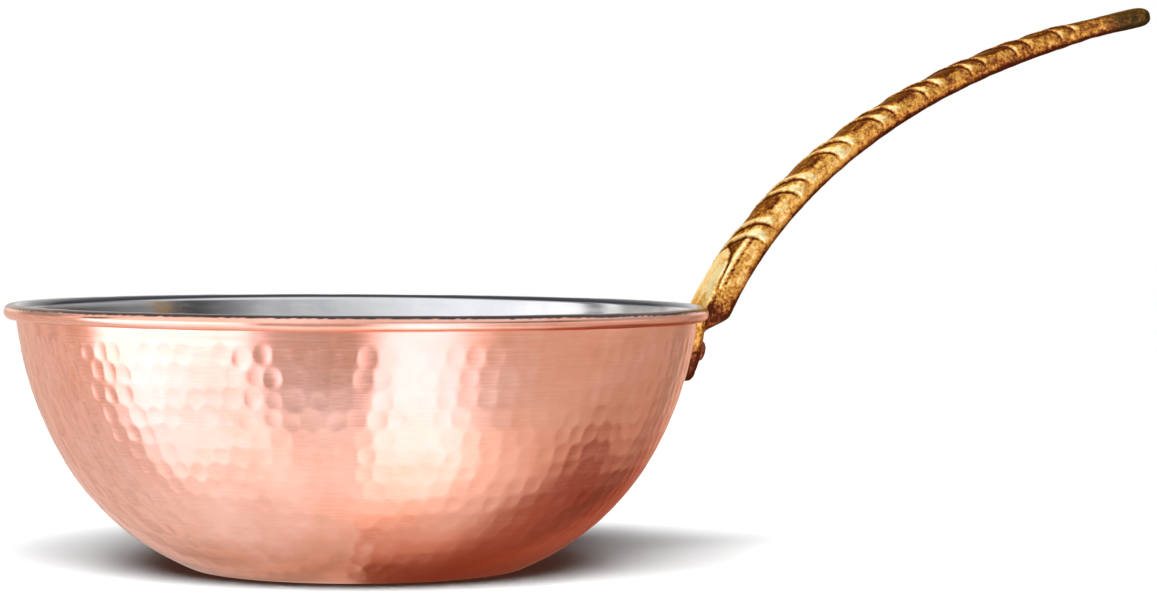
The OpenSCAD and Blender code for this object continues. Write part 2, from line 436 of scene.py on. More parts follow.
def ridges(s, t):
    """Height of the slanting ridges, and how much each point is ridge or groove."""
    height = np.zeros(np.broadcast(s, t).shape)
    crest = np.zeros_like(height)
    cut = np.zeros_like(height)
    # The ridges slant: further to the front they lie further along the handle
    lean = (3 - 6.4 * np.exp(-np.clip(t, -80, 180) / 52)) * MM
    for k in range(PAIRS):
        narrow = (1.15 - 0.05 * k) * MM
        for side in (-1, 1):
            x = (s - ridge_middle(k) - side * RIDGE_OFF - lean) / narrow
            reach = smooth(t, -78, -15) * (1 - smooth(t, 62, 104 - 4 * side))
            # Steep toward the bowl, gentle toward the tip
            bump = np.where(x < 0, np.exp(-(x / 0.55) ** 2), np.exp(-(x / 1.9) ** 2)) * reach
            slot = np.exp(-((x + 1.05) / 0.42) ** 2) * reach
            height += (0.62 * bump - 0.42 * slot) * narrow
            crest = np.maximum(crest, bump)
            cut = np.maximum(cut, slot)
    return height, crest, cut


def shoulder_grooves(s, t):
    """The shallow pitted channel along the front shoulder between one pair and the next."""
    channel = np.zeros(np.broadcast(s, t).shape)
    for k in range(PAIRS - 1):
        start = ridge_middle(k) + 7.5 * MM
        end = ridge_middle(k + 1) - 6 * MM
        between = smooth(s, start, start + 2.5 * MM) * (1 - smooth(s, end - 2.5 * MM, end))
        channel = np.maximum(channel, between * np.exp(-((t - 40) / 10) ** 2))
    return channel


def root_leaf(s, t, across):
    """The raised tongue on top of the root and the leaf-shaped rib on each of its shoulders."""
    here = np.clip(s / (20 * MM), 0, 1)
    blunt = np.sqrt(np.clip(1 - (np.clip(s - 13 * MM, 0, None) / (7 * MM)) ** 2, 0, 1))
    half = (10.6 - 3.6 * here) * MM * blunt
    gap = np.abs(across) - half
    top = np.abs(t) < 75
    tongue = (1 - smooth(gap, -0.9 * MM, 0.1 * MM)) * (s < 20 * MM) * top
    cut = np.exp(-((gap - 0.5 * MM) / (0.55 * MM)) ** 2) * (1 - smooth(s, 19 * MM, 23 * MM)) * top
    side = np.abs(t)
    rib_t = 44 + 6 * (1 - here)
    rib_fade = smooth(s, -6 * MM, 4 * MM) * (1 - smooth(s, 24 * MM, 31 * MM))
    rib = np.exp(-((side - rib_t) / 7.5) ** 2) * rib_fade
    dots = np.exp(-((side - rib_t - 17) / 6) ** 2) * smooth(s, 4 * MM, 9 * MM)
    dots = dots * (1 - smooth(s, 25 * MM, 29 * MM))
    return tongue, cut, rib, dots


def heel_cut(t):
    """Distance along the bar, before the root, at which the sloping heel ends it."""
    heel = np.array([BEAD_C[0] + PLATE_T - SHEET_T, PLATE_LOW + HEEL_HIGH])
    face = unit(HEEL_SLOPE + 90)
    _, half_t = half_size(0.0)
    c = np.cos(np.radians(t))
    up = half_t * np.sign(c) * np.abs(c) ** (2 / SQUARENESS)
    start = ROOT + up[:, None] * unit(ROOT_SLOPE + 90)
    return -((start - heel) @ face) / (unit(ROOT_SLOPE) @ face)


def grip_rings(t):
    """Stations and drawn-in amounts of every ring from the heel's end face to the tip."""
    cut = heel_cut(t)
    _, half_t = half_size(0.0)
    rows = []
    shrinks = []
    for part in (0.25, 0.5, 0.75):
        rows.append(cut)
        shrinks.append(half_t * (1 - part))
    for turn in np.radians(np.linspace(0, 90, 6)):
        rows.append(cut + HEEL_ROUND * (1 - math.cos(turn)))
        shrinks.append(HEEL_ROUND * (1 - math.sin(turn)))
    start = cut + HEEL_ROUND
    first = 1 * MM
    for part in np.linspace(0, 1, 26)[1:]:
        rows.append(start + (first - start) * part)
        shrinks.append(0)
    for s in np.arange(first + GRIP_STEP, HANDLE_L - TIP_ROUND, GRIP_STEP):
        rows.append(np.full(len(t), s))
        shrinks.append(0)
    return np.array(rows), np.array(shrinks)[:, None]


def outward(rings):
    """Unit normals of a grid of rings, from its neighbouring points."""
    along = np.gradient(rings, axis=0)
    around = np.roll(rings, -1, 1) - np.roll(rings, 1, 1)
    normal = np.cross(around, along)
    normal /= np.maximum(np.linalg.norm(normal, axis=-1, keepdims=True), 1e-12)
    middle = rings.mean(axis=1, keepdims=True)
    if np.einsum("ijk,ijk->", rings - middle, normal) < 0:
        normal = -normal
    return normal


def rounded_tip(last, end_s):
    """Rings that close the last ring in a dome, and the tip's point."""
    middle = last.mean(axis=0)
    forward, rise = unit(slope_at(end_s))
    ahead = np.array([forward, 0, rise])
    left = HANDLE_L - end_s
    closing = []
    for a in np.radians(np.linspace(0, 88, 14)[1:]):
        ring = middle + (last - middle) * math.cos(a) ** 0.8
        closing.append(ring + ahead * left * math.sin(a))
    return np.array(closing), middle + ahead * left


def build_grip(material):
    """The twisted grip, from the heel's end face to the tip."""
    rng = np.random.default_rng(37)
    t = girth_angles(GRIP_AROUND)
    s, shrink = grip_rings(t)
    base = bar_surface(s, t[None, :], shrink)
    normal = outward(base)
    plain = shrink < 1e-9
    height, crest, cut = ridges(s, t[None, :])
    tongue, root_cut, rib, dots = root_leaf(s, t[None, :], base[..., 1])
    channel = shoulder_grooves(s, t[None, :])
    turn = np.radians(t)[None, :]
    uneven = ripple(rng, s, turn, 24, 5, 900, 0.05 * MM)
    uneven = uneven + ripple(rng, s, turn, 18, 9, 2600, 0.025 * MM)
    pits = smooth(ripple(rng, s, turn, 30, 24, 5200, 1.0), 0.2, 1.6)
    height = height + 0.5 * MM * tongue - 0.45 * MM * root_cut + 0.55 * MM * rib
    height -= (0.28 * channel + 0.42 * dots) * MM * (0.45 + 0.55 * pits)
    height += uneven - SKIN_IN
    height = np.where(plain, height, -SKIN_IN)
    body = base + height[..., None] * normal
    closing, tip = rounded_tip(body[-1], s[-1, 0])
    rings = np.concatenate([body, closing])
    # Painted shade: the top face and the underside are darkened through the stain values
    top = np.exp(-(t / 46) ** 4)[None, :]
    low = smooth(np.abs(t), 100, 135)[None, :]
    shown = np.maximum.reduce([crest, rib, tongue])
    hollows = [cut, root_cut, dots * (0.45 + 0.55 * pits), channel * (0.4 + 0.6 * pits)]
    hidden = np.maximum.reduce(hollows)
    heel = 1 - smooth(base[..., 2], 87 * MM, 100 * MM)
    used = smooth(s, 50 * MM, 140 * MM)
    # Bright where it is rubbed, dark in the hollows, at the heel and up the grip; painted shade
    # darkens the top face and the underside
    stain_and_shade = 0.38 + 0.45 * top + 0.55 * low - (0.85 - 0.3 * used) * shown + 0.8 * hidden
    stain_and_shade += 0.62 * heel + 0.24 * used
    stain_and_shade = np.clip(stain_and_shade, 0, 1.2)
    tail = smooth(s, HANDLE_L - 22 * MM, HANDLE_L - 13 * MM)
    pad = ((0, len(closing)), (0, 0))
    values = {"stain_and_shade": np.pad(stain_and_shade, pad, mode="edge"), "tail": np.pad(tail, pad, mode="edge")}
    start = body[0].mean(axis=0)
    return closed_skin("handle_grip", rings, start, tip, material, values)


def plate_outline(count):
    """Rounded-bottom outline of the riveting plate in width and height, square at the top."""
    top = PLATE_TOP - 0.1 * MM
    half = PLATE_W / 2
    corner_y = half - PLATE_CORNER
    low = PLATE_LOW + PLATE_CORNER
    turn = np.linspace(-90, 0, 25)
    right = np.array([corner_y, low]) + PLATE_CORNER * unit(turn)
    side = np.stack([np.full(10, half), np.linspace(low, top, 12)[1:-1]], -1)
    roof = np.stack([np.linspace(half, 0, 12), np.full(12, top)], -1)
    half_loop = np.vstack([[[0, PLATE_LOW]], right, side, roof])
    loop = np.vstack([half_loop, (half_loop * [-1, 1])[-2:0:-1], [[0, PLATE_LOW]]])
    travelled = length_along(loop)
    at = np.arange(count) * travelled[-1] / count
    return np.stack([np.interp(at, travelled, line) for line in loop.T], -1)


def off_wall(y, z, stand):
    """Point at that side and height, standing off the wall's outer face."""
    radius = WALL_C[0] + np.sqrt((WALL_R + stand) ** 2 - (z - WALL_C[1]) ** 2)
    return np.stack([np.sqrt(radius ** 2 - y ** 2), np.broadcast_to(y, radius.shape), z], -1)


def plate_plan():
    """Each ring of the plate: its share of the outline, its stand off the wall, and its inset."""
    side_top = PLATE_T - PLATE_EDGE_R
    plan = [(part, -0.5 * MM, 0) for part in (0.3, 0.7, 1.0)]
    plan += [(1.0, stand, 0) for stand in np.linspace(0, side_top, 8)]
    for a in np.radians(np.linspace(0, 90, 7))[1:]:
        stand = PLATE_T - PLATE_EDGE_R * (1 - math.sin(a))
        plan.append((1.0, stand, PLATE_EDGE_R * (1 - math.cos(a))))
    plan += [(part, PLATE_T, PLATE_EDGE_R) for part in np.linspace(1, 0.06, 24)[1:]]
    return plan


def build_plate(material):
    """The riveting plate, which follows the wall's curve."""
    rng = np.random.default_rng(41)
    loop = plate_outline(PLATE_AROUND)
    middle = np.array([0, (PLATE_LOW + PLATE_TOP) / 2])
    inward = middle - loop
    inward /= np.linalg.norm(inward, axis=1, keepdims=True)
    angle = np.arctan2(*(loop - middle).T)
    worn = 0.1 * MM
    rings = []
    stain_and_shade = []
    for part, stand, inset in plate_plan():
        flat = middle + (loop - middle + inset * inward) * part
        side, height = flat.T
        if stand > 0:
            rough = ripple(rng, height, angle, 4, 5, 1400, 0.02 * MM)
            rings.append(off_wall(side, height, stand + rough - worn))
        else:
            rings.append(off_wall(side, height, stand))
        # Painted light and shade: the side faces lighter, a painted shadow by the wall and a
        # painted dark reflection low down
        edge = 1 if stand < PLATE_T - PLATE_EDGE_R else 0
        painted_wall_shadow = 0.7 if stand < 2.2 * MM else 0
        painted_low_reflection = 1 - smooth(height, PLATE_LOW + 6 * MM, PLATE_LOW + 14 * MM)
        stain_and_shade.append(0.85 - 0.3 * edge + painted_wall_shadow + 0.6 * painted_low_reflection)
    rings = np.array(rings)
    values = {"stain_and_shade": np.clip(np.array(stain_and_shade), 0, 1.2), "tail": 0.0}
    start = off_wall(0.0, middle[1], -0.5 * MM)
    end = off_wall(0.0, middle[1], PLATE_T - worn)
    return closed_skin("handle_plate", rings, start, end, material, values)


def joined(name, pieces):
    """One object from several closed meshes."""
    bpy.ops.object.select_all(action="DESELECT")
    for piece in pieces:
        piece.select_set(True)
    bpy.context.view_layer.objects.active = pieces[0]
    bpy.ops.object.join()
    pieces[0].name = name
    return pieces[0]


# ---- Rivets ----

def rivet_outline():
    """Radius and distance out from the wall's outer face, from the outer head to the inner one."""
    dome = np.radians(np.linspace(6, 90, 15))
    outer = np.stack([HEAD_R * np.sin(dome), PLATE_T + OUTER_HEAD_H * np.cos(dome) ** 0.8], -1)
    inner_face = -(SHEET_T + LINING_T)
    under_head = HEAD_R * 0.97
    sunk = inner_face + 0.1 * MM
    neck = np.array([
        [under_head, PLATE_T - 0.12 * MM],
        [RIVET_R, PLATE_T - 0.15 * MM],
        [RIVET_R, sunk],
        [under_head, sunk],
    ])
    inner = np.stack([HEAD_R * np.sin(dome), inner_face - INNER_HEAD_H * np.cos(dome)], -1)
    return np.vstack([outer, neck, inner[::-1]]), len(outer) + len(neck)


def build_rivet(name, material, rng):
    """One rivet square to the wall, its shank hidden and its heads slightly faceted."""
    height, side = RIVETS[name]
    outline, inside_from = rivet_outline()
    theta = circle(RIVET_AROUND)
    facets = ripple(rng, outline[:, 1:2], theta[None, :], 8, 4, 900, 0.05 * MM)
    facets *= smooth(outline[:, 0:1], 0.4 * MM, 1.6 * MM)
    radius = outline[:, 0:1] * 0.98 + facets
    sunk = 0.05 * MM
    out = np.broadcast_to(outline[:, 1:2], radius.shape) - sunk
    local = np.stack([out, radius * np.cos(theta), radius * np.sin(theta)], -1)
    tilt = math.asin((WALL_C[1] - height) / WALL_R)
    on_wall = (Matrix.Rotation(math.asin(side / RIM_R), 4, "Z")
               @ Matrix.Translation((WALL_C[0], 0, WALL_C[1]))
               @ Matrix.Rotation(tilt, 4, "Y")
               @ Matrix.Translation((WALL_R, 0, 0)))
    turn = np.array(on_wall.to_3x3())
    shift = np.array(on_wall.translation)
    rings = local @ turn.T + shift
    start = turn @ np.array([PLATE_T + OUTER_HEAD_H - sunk, 0, 0]) + shift
    end = turn @ np.array([-(SHEET_T + LINING_T) - INNER_HEAD_H, 0, 0]) + shift
    tinned = np.zeros((len(outline), 1))
    tinned[inside_from - 1:] = 1
    return closed_skin(name + "_hammered", rings, start, end, material, {"tinned": tinned})


# ---- Node helpers ----

def put(tree, kind, inputs, **settings):
    """Adds a node with its settings. An input is given as a value or as a socket to link."""
    made = tree.nodes.new(kind)
    for key, value in settings.items():
        setattr(made, key, value)
    for key, value in inputs.items():
        if isinstance(value, bpy.types.NodeSocket):
            tree.links.new(value, made.inputs[key])
        else:
            made.inputs[key].default_value = value
    return made


def calc(tree, operation, *inputs):
    """One step of arithmetic."""
    made = put(tree, "ShaderNodeMath", dict(enumerate(inputs)), operation=operation)
    return made.outputs[0]


def total(tree, *values):
    """The sum of several values."""
    result = values[0]
    for value in values[1:]:
        result = calc(tree, "ADD", result, value)
    return result


def both(tree, *factors):
    """The product of several values."""
    result = factors[0]
    for factor in factors[1:]:
        result = calc(tree, "MULTIPLY", result, factor)
    return result


def blend(tree, factor, first, second):
    """The first colour where factor is 0, the second where it is 1."""
    inputs = {0: factor, 6: first, 7: second}
    return put(tree, "ShaderNodeMix", inputs, data_type="RGBA").outputs[2]


def fade(tree, value, low, high, to_low=0.0, to_high=1.0):
    """value between low and high, mapped evenly and smoothly to another range."""
    inputs = {0: value, 1: low, 2: high, 3: to_low, 4: to_high}
    return put(tree, "ShaderNodeMapRange", inputs, interpolation_type="SMOOTHSTEP").outputs[0]


def band(tree, value, rise, fall):
    """1 between two soft edges and 0 outside them. Each edge is where it starts and ends."""
    return both(tree, fade(tree, value, *rise), fade(tree, value, *fall, 1.0, 0.0))


def less(tree, value, factor, drop):
    """value, less drop of itself where factor is 1."""
    return both(tree, value, fade(tree, factor, 0.0, 1.0, 1.0, 1.0 - drop))


def noise(tree, where, scale, detail=3.0, rough=0.55):
    """Cloudy noise between 0 and 1."""
    inputs = {"Vector": where, "Scale": scale, "Detail": detail, "Roughness": rough}
    return put(tree, "ShaderNodeTexNoise", inputs).outputs[0]


def named(tree, name):
    """A point attribute of the mesh."""
    return put(tree, "ShaderNodeAttribute", {}, attribute_name=name).outputs[2]


def place(tree):
    """The point's place in the shared frame."""
    return put(tree, "ShaderNodeTexCoord", {}).outputs["Object"]


def ring_place(tree, where, keep):
    """Distance from the bowl's axis and height, so that a texture runs round the bowl in rings.
    keep is how much of the way round it still sees, which breaks the rings up."""
    x, y, z = put(tree, "ShaderNodeSeparateXYZ", {0: where}).outputs
    reach = calc(tree, "SQRT", total(tree, both(tree, x, x), both(tree, y, y)))
    drift = both(tree, noise(tree, where, 14.0, 1.0), keep)
    return put(tree, "ShaderNodeCombineXYZ", {0: reach, 1: z, 2: drift}).outputs[0]


def bumped(tree, height, distance, strength, under=None):
    """A normal raised by height, on top of another one if given."""
    inputs = {"Height": height, "Distance": distance, "Strength": strength}
    if under is not None:
        inputs["Normal"] = under
    return put(tree, "ShaderNodeBump", inputs).outputs[0]


def new_metal(name, edge_tint):
    """A metal, with the colour that it takes on at grazing angles."""
    material = bpy.data.materials.new(name)
    material.use_nodes = True
    shader = material.node_tree.nodes["Principled BSDF"]
    shader.inputs["Metallic"].default_value = 1.0
    shader.inputs["Specular Tint"].default_value = edge_tint
    return material, material.node_tree, shader


# ---- Materials: colours ----

COPPER = (0.91, 0.45, 0.335, 1)
COPPER_PALE = (0.96, 0.53, 0.43, 1)
COPPER_RED = (0.80, 0.33, 0.20, 1)
COPPER_BRUSHED = (0.99, 0.66, 0.53, 1)
# Painted shade near the base, standing in for the mirrored shadow under the pan
COPPER_PAINTED_SHADE = (0.54, 0.165, 0.078, 1)
COPPER_EDGE = (1.0, 0.87, 0.79, 1)
TIN = (0.74, 0.75, 0.77, 1)
TIN_DULL = (0.66, 0.67, 0.70, 1)
TIN_BRIGHT = (0.80, 0.80, 0.81, 1)
# Painted dark reflection and shade on the rim, on the copper bead and the tin
PAINTED_DARK = (0.045, 0.045, 0.055, 1)
BRASS_TIP = (0.048, 0.036, 0.013, 1)
BRASS_EDGE = (0.92, 0.66, 0.38, 1)
# From rubbed brass to the stain in its hollows and the painted shade on the handle
BRASS_STOPS = (
    (0.0, (1.0, 0.87, 0.49, 1)),
    (0.26, (0.90, 0.55, 0.15, 1)),
    (0.50, (0.66, 0.32, 0.055, 1)),
    (0.74, (0.30, 0.09, 0.025, 1)),
    (1.0, (0.10, 0.023, 0.011, 1)),
)
RIVET_DARK = (0.13, 0.036, 0.02, 1)
RIVET_WORN = (0.38, 0.13, 0.065, 1)
RIVET_EDGE = (0.8, 0.55, 0.4, 1)
STEEL_DARK = (0.42, 0.42, 0.43, 1)
STEEL_PALE = (0.60, 0.60, 0.60, 1)
CARD_DARK = (0.90, 0.90, 0.90, 1)
CARD_PALE = (0.93, 0.93, 0.93, 1)
WHITE = (1.0, 1.0, 1.0, 1)


# ---- Materials ----

def copper_material():
    """Brushed copper, with painted shade that makes it darker and redder towards the base, and a
    painted dark reflection where the tin runs over the rim.
    """
    material, tree, shader = new_metal("copper", COPPER_EDGE)
    where = place(tree)
    rings = ring_place(tree, where, 0.012)
    brush = noise(tree, rings, 2600.0, 3.0, 0.6)
    cloudy = noise(tree, where, 26.0, 4.0, 0.6)
    patches = noise(tree, where, 70.0, 3.0, 0.55)
    colour = blend(tree, fade(tree, cloudy, 0.35, 0.65), COPPER, COPPER_PALE)
    colour = blend(tree, fade(tree, patches, 0.45, 0.75, 0.0, 0.35), colour, COPPER_RED)
    colour = blend(tree, fade(tree, brush, 0.3, 0.8, 0.0, 0.25), colour, COPPER_BRUSHED)
    # Painted shade: darker and redder towards the base
    height = put(tree, "ShaderNodeSeparateXYZ", {0: where}).outputs[2]
    height = total(tree, height, fade(tree, cloudy, 0.3, 0.7, -2.5 * MM, 2.5 * MM))
    painted_base_shade = fade(tree, height, 2 * MM, 24 * MM, 0.92, 0.0)
    colour = blend(tree, painted_base_shade, colour, COPPER_PAINTED_SHADE)
    # The tinned part of the bead is painted dark: a painted dark reflection along the rim
    colour = blend(tree, named(tree, "tinned"), colour, PAINTED_DARK)
    tree.links.new(colour, shader.inputs["Base Color"])
    rough = fade(tree, brush, 0.2, 0.8, 0.13, 0.22)
    rough = total(tree, rough, fade(tree, cloudy, 0.3, 0.7, 0.0, 0.06))
    tree.links.new(rough, shader.inputs["Roughness"])
    grain = bumped(tree, brush, 0.02 * MM, 0.12)
    soft = bumped(tree, noise(tree, where, 420.0, 3.0), 0.05 * MM, 0.12, grain)
    tree.links.new(soft, shader.inputs["Normal"])
    return material


def tin_material():
    """Wiped tin: silver, a little cloudy, with faint rings, and a painted dark reflection and shade
    at its edge.
    """
    material, tree, shader = new_metal("tin", WHITE)
    where = place(tree)
    rings = ring_place(tree, where, 0.03)
    wiped = noise(tree, rings, 700.0, 4.0, 0.6)
    cloudy = noise(tree, where, 34.0, 4.0, 0.6)
    colour = blend(tree, fade(tree, cloudy, 0.3, 0.7), TIN_DULL, TIN_BRIGHT)
    # Painted dark reflection on the lip and painted shade under the rim at the left
    colour = blend(tree, named(tree, "edge"), colour, PAINTED_DARK)
    tree.links.new(colour, shader.inputs["Base Color"])
    rough = fade(tree, wiped, 0.3, 0.7, 0.09, 0.16)
    rough = total(tree, rough, fade(tree, cloudy, 0.3, 0.7, 0.0, 0.06))
    tree.links.new(rough, shader.inputs["Roughness"])
    tree.links.new(bumped(tree, wiped, 0.03 * MM, 0.3), shader.inputs["Normal"])
    return material


def brass_ramp(tree, stain_and_shade):
    """Colour of the brass by how stained it is, painted shade and light included."""
    ramp = put(tree, "ShaderNodeValToRGB", {0: stain_and_shade})
    scale = ramp.color_ramp
    while len(scale.elements) < len(BRASS_STOPS):
        scale.elements.new(0.5)
    for element, (position, colour) in zip(scale.elements, BRASS_STOPS):
        element.position = position
        element.color = colour
    return ramp.outputs[0]


def brass_material():
    """Cast brass: bright where it is rubbed, red-brown in the hollows, nearly black at the tip,
    with painted shade and light on the grip and the plate.
    """
    material, tree, shader = new_metal("cast_brass", BRASS_EDGE)
    where = place(tree)
    grain = noise(tree, where, 900.0, 4.0, 0.65)
    mottle = noise(tree, where, 260.0, 4.0, 0.6)
    cloudy = noise(tree, where, 60.0, 3.0, 0.6)
    spots = put(tree, "ShaderNodeTexVoronoi", {"Vector": where, "Scale": 1100.0}).outputs[0]
    # Painted shade and light come in with the stain values
    stain_and_shade = total(tree, named(tree, "stain_and_shade"), fade(tree, mottle, 0.3, 0.7, -0.19, 0.19),
                  fade(tree, grain, 0.35, 0.65, -0.17, 0.17),
                  fade(tree, cloudy, 0.3, 0.7, -0.10, 0.10))
    tail = both(tree, named(tree, "tail"), fade(tree, mottle, 0.40, 0.60, 1.0, 0.7))
    colour = blend(tree, tail, brass_ramp(tree, stain_and_shade), BRASS_TIP)
    tree.links.new(colour, shader.inputs["Base Color"])
    rough = fade(tree, stain_and_shade, 0.0, 1.0, 0.38, 0.52)
    rough = total(tree, rough, fade(tree, grain, 0.3, 0.7, -0.05, 0.08))
    tree.links.new(rough, shader.inputs["Roughness"])
    pits = fade(tree, spots, 0.0, 0.55)
    fine = bumped(tree, grain, 0.16 * MM, 0.55)
    tree.links.new(bumped(tree, pits, 0.08 * MM, 0.35, fine), shader.inputs["Normal"])
    return material


def rivet_material():
    """Hammered copper rivet, darkened outside and tinned inside."""
    material, tree, shader = new_metal("rivet_copper", RIVET_EDGE)
    mottle = noise(tree, place(tree), 500.0, 4.0, 0.6)
    colour = blend(tree, fade(tree, mottle, 0.35, 0.65), RIVET_DARK, RIVET_WORN)
    colour = blend(tree, named(tree, "tinned"), colour, TIN)
    tree.links.new(colour, shader.inputs["Base Color"])
    tree.links.new(fade(tree, mottle, 0.3, 0.7, 0.24, 0.42), shader.inputs["Roughness"])
    tree.links.new(bumped(tree, mottle, 0.08 * MM, 0.5), shader.inputs["Normal"])
    return material


def wire_material():
    """Drawn steel wire, hidden inside the rolled rim."""
    material, tree, shader = new_metal("steel_wire", WHITE)
    streaks = noise(tree, ring_place(tree, place(tree), 0.02), 2400.0)
    tree.links.new(fade(tree, streaks, 0.3, 0.7, 0.3, 0.5), shader.inputs["Roughness"])
    tree.links.new(blend(tree, streaks, STEEL_DARK, STEEL_PALE), shader.inputs["Base Color"])
    return material


def floor_material():
    """Pale matt card that fades out far from the pan and can't be seen from below."""
    material = bpy.data.materials.new("floor_card")
    material.use_nodes = True
    tree = material.node_tree
    shader = tree.nodes["Principled BSDF"]
    shader.inputs["Roughness"].default_value = 1.0
    shader.inputs["Specular IOR Level"].default_value = 0.0
    where = place(tree)
    speck = noise(tree, where, 300.0)
    tree.links.new(blend(tree, speck, CARD_DARK, CARD_PALE), shader.inputs["Base Color"])
    away = put(tree, "ShaderNodeVectorMath", {0: where}, operation="LENGTH").outputs["Value"]
    from_below = put(tree, "ShaderNodeNewGeometry", {}).outputs["Backfacing"]
    shown = less(tree, fade(tree, away, 0.9, 2.4, 1.0, 0.0), from_below, 1.0)
    tree.links.new(shown, shader.inputs["Alpha"])
    return material


# ---- Camera and studio ----

# The camera stands this many degrees to the left of the bowl's front
CAMERA_SIDE = 12.0
CAMERA_FAR = 1.2
CAMERA_HIGH = 0.131
CAMERA_PAN = 3.743
CAMERA_PITCH = 1.70
CAMERA_ROLL = 0.34
CAMERA_LENS = 104.5
SENSOR = 36.0
FLOOR_HALF = 6.0


def build_camera():
    """The photo's camera, fitted to the pan's outline."""
    data = bpy.data.cameras.new("camera")
    data.sensor_fit = "HORIZONTAL"
    data.sensor_width = SENSOR
    data.lens = CAMERA_LENS
    data.clip_end = 50.0
    camera = bpy.data.objects.new("camera", data)
    bpy.context.collection.objects.link(camera)
    side = math.radians(CAMERA_SIDE)
    left = -CAMERA_FAR * math.sin(side)
    front = -CAMERA_FAR * math.cos(side)
    spot = Matrix.Translation((left, front, CAMERA_HIGH))
    facing = Matrix.Rotation(-side - math.radians(CAMERA_PAN), 4, "Z")
    tilt = Matrix.Rotation(math.radians(90 - CAMERA_PITCH), 4, "X")
    roll = Matrix.Rotation(math.radians(CAMERA_ROLL), 4, "Z")
    camera.matrix_world = spot @ facing @ tilt @ roll
    bpy.context.scene.camera = camera


def build_floor():
    """A plain card just under the pan."""
    mesh = bpy.data.meshes.new("floor")
    corners = [(x * FLOOR_HALF, y * FLOOR_HALF, 0) for x, y in ((-1, -1), (1, -1), (1, 1), (-1, 1))]
    mesh.from_pydata(corners, [], [(0, 1, 2, 3)])
    mesh.materials.append(floor_material())
    floor = bpy.data.objects.new("floor", mesh)
    floor.location.z = -0.05 * MM
    bpy.context.collection.objects.link(floor)
    # The copper mirrors the studio below table height, as it would on a small table
    floor.visible_glossy = False


# ---- Studio, by azimuth from the camera's side of the pan, to the right, and by elevation ----

# Elevation of each panel's lower edge, and how much brighter it is than the one below
LEFT_PANELS = ((-63.0, 0.14), (-49.0, 0.56), (-34.0, 0.62), (-19.0, 0.50))
RIGHT_PANELS = ((-71.0, 0.40), (-57.0, 0.45), (-42.0, 0.45))
SLAT_RATE = 0.52
SLAT_DEPTH = 0.26
KEY_STRENGTH = 13.4
FILL_STRENGTH = 0.05
THROWN_STRENGTH = 0.14
SIDE_TINT = (1, 0.90, 0.86, 1)
FAR_LEFT_TINT = (1, 0.82, 0.70, 1)
RIM_TINT = (1, 0.76, 0.62, 1)
WARM_TINT = (1, 0.66, 0.52, 1)
BOX_TINT = (1, 0.93, 1.10, 1)
DIM_TINT = (1, 0.34, 0.21, 1)


def panels(tree, el, lowest, steps, blur):
    """Brightness of a soft box of panels one above the other, each brighter than the last."""
    level = lowest
    for bottom, more in steps:
        level = total(tree, level, fade(tree, el, bottom - blur, bottom + blur, 0.0, more))
    return level


def soft_boxes(tree, az, el):
    """Two tall soft boxes, at the left and in front."""
    left = both(tree, band(tree, az, (-101.0, -95.0), (-39.0, -32.0)),
                panels(tree, el, 0.04, LEFT_PANELS, 2.5))
    # The front box is narrower low down
    spread = total(tree, az, fade(tree, el, -66.0, -30.0, -20.0, 0.0))
    front = both(tree, fade(tree, az, 1.0, 10.0), fade(tree, spread, 24.0, 52.0, 1.0, 0.0),
                 panels(tree, el, 0.15, RIGHT_PANELS, 5.0))
    return total(tree, left, front)


def slats(tree, az, el):
    """Faint upright slats: at the far left, under the left box and between the two boxes."""
    side = fade(tree, az, -120.0, -108.0, SLAT_DEPTH, 0.0)
    under_left = both(tree, fade(tree, az, -120.0, -108.0),
                      fade(tree, el, -54.0, -46.0, SLAT_DEPTH, 0.0))
    between = both(tree, fade(tree, az, -36.0, -28.0), 0.14)
    depth = calc(tree, "MAXIMUM", side, calc(tree, "MAXIMUM", under_left, between))
    depth = both(tree, depth, fade(tree, az, -6.0, 4.0, 1.0, 0.0), fade(tree, el, -80.0, -64.0))
    return both(tree, depth, calc(tree, "SINE", both(tree, az, SLAT_RATE)))


def low_studio(tree, az, el, boxes):
    """What the wall of the pan mirrors: the room below table height and the soft boxes."""
    wide = calc(tree, "ABSOLUTE", az)
    room = total(tree, fade(tree, az, -115.0, -40.0, 0.78, 0.58),
                 fade(tree, az, 40.0, 60.0, 0.0, 0.14), fade(tree, az, 84.0, 112.0, 0.0, -0.12))
    near = both(tree, fade(tree, el, -52.0, -30.0, 0.50, 0.0),
                fade(tree, wide, 40.0, 100.0, 1.0, 0.3))
    table = both(tree, fade(tree, el, -12.0, -4.0), fade(tree, az, 10.0, 30.0),
                 fade(tree, az, 96.0, 118.0, 1.0, 0.0), 0.32)
    room = total(tree, room, total(tree, near, table))
    # A dark and a light strip far round, which pick out the hammer marks at the right edge
    high = fade(tree, el, -52.0, -36.0)
    dark = both(tree, high, band(tree, az, (134.0, 139.0), (144.0, 149.0)))
    light = both(tree, high, band(tree, az, (152.0, 157.0), (164.0, 170.0)))
    room = total(tree, less(tree, room, dark, 0.32), both(tree, light, 0.3))
    return total(tree, room, slats(tree, az, el), boxes)


